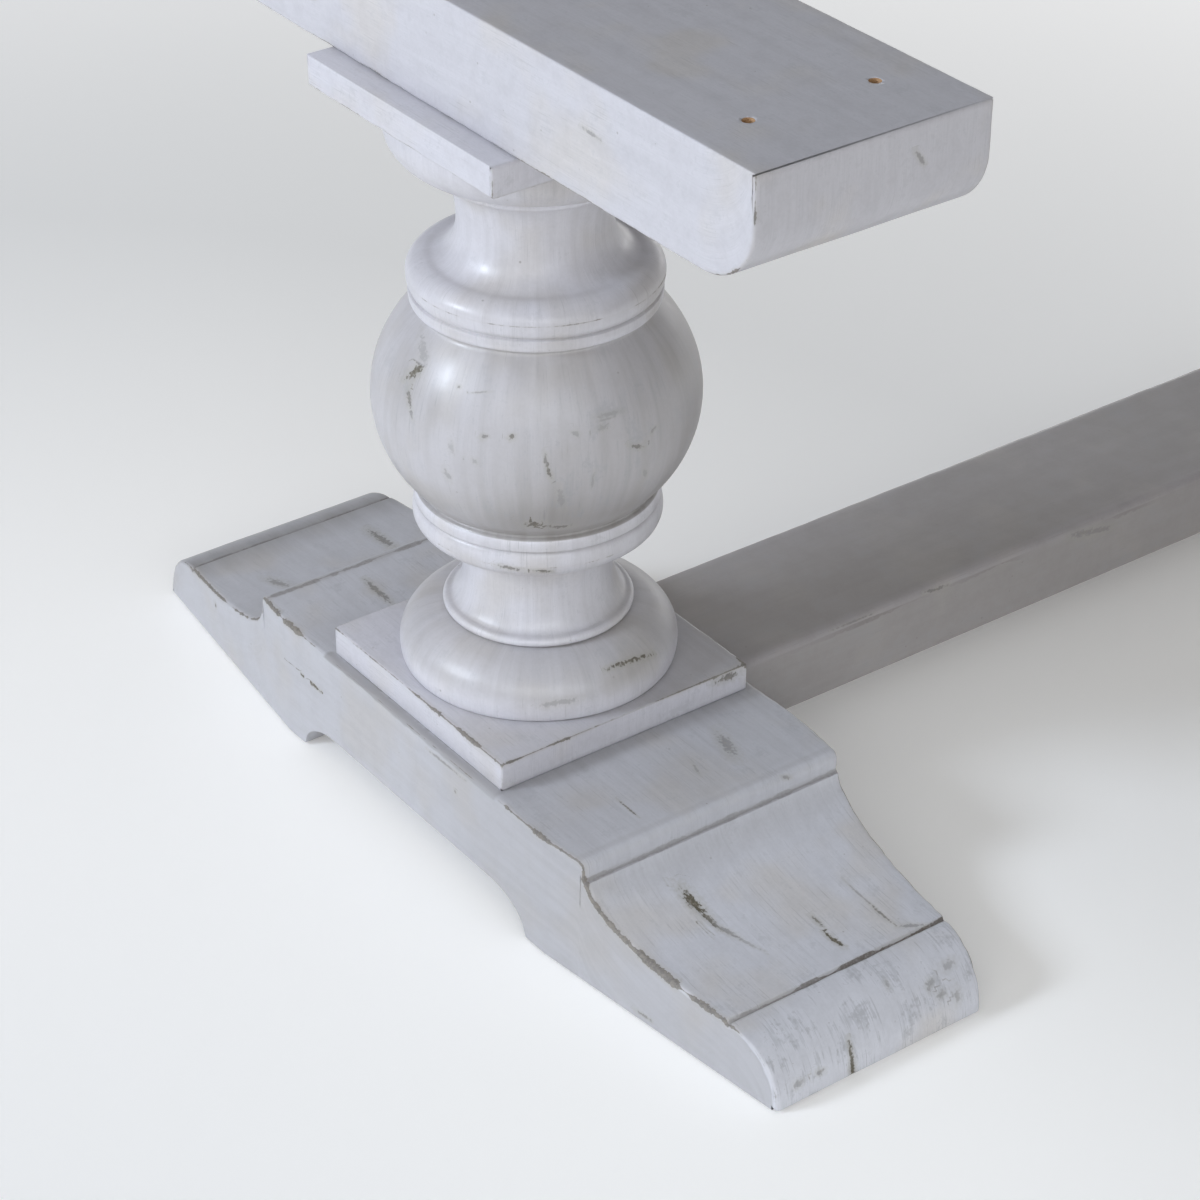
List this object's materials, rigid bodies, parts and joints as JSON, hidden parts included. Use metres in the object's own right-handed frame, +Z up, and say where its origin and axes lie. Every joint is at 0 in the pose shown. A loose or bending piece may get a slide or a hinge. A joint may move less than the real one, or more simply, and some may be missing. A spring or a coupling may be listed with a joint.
{
  "type": "trestle table leg",
  "caption": "Trestle table end leg: carved sled foot, square plinths, turned ball post, bearer for the table top and half of the low stretcher.",
  "frame": {"origin": "on the floor, on the axis of the turned post", "axes": "+Z up along the post; X along the foot; +Y along the stretcher, away from the table's end"},
  "size_m": [0.528, 0.593, 0.44],
  "materials": {
    "white_paint": "antique white paint on solid wood, brushed, satin, worn through along the edges",
    "bare_wood": "plain beech",
    "zinc_steel": "zinc plated",
    "nylon": "matt"
  },
  "bodies": {
    "root": {"foot": "white_paint", "lower_plinth": "white_paint", "turned_post": "white_paint", "upper_plinth": "white_paint", "top_bearer": "white_paint", "stretcher": "white_paint", "stretcher_screws": "zinc_steel", "tie_rod": "zinc_steel", "lower_washer": "zinc_steel", "lower_nut": "zinc_steel", "upper_washer": "zinc_steel", "upper_nut": "zinc_steel", "lower_dowels": "bare_wood", "upper_dowels": "bare_wood", "glide_far_outer": "nylon", "glide_near_outer": "nylon", "glide_far_inner": "nylon", "glide_near_inner": "nylon"}
  },
  "joints": []
}
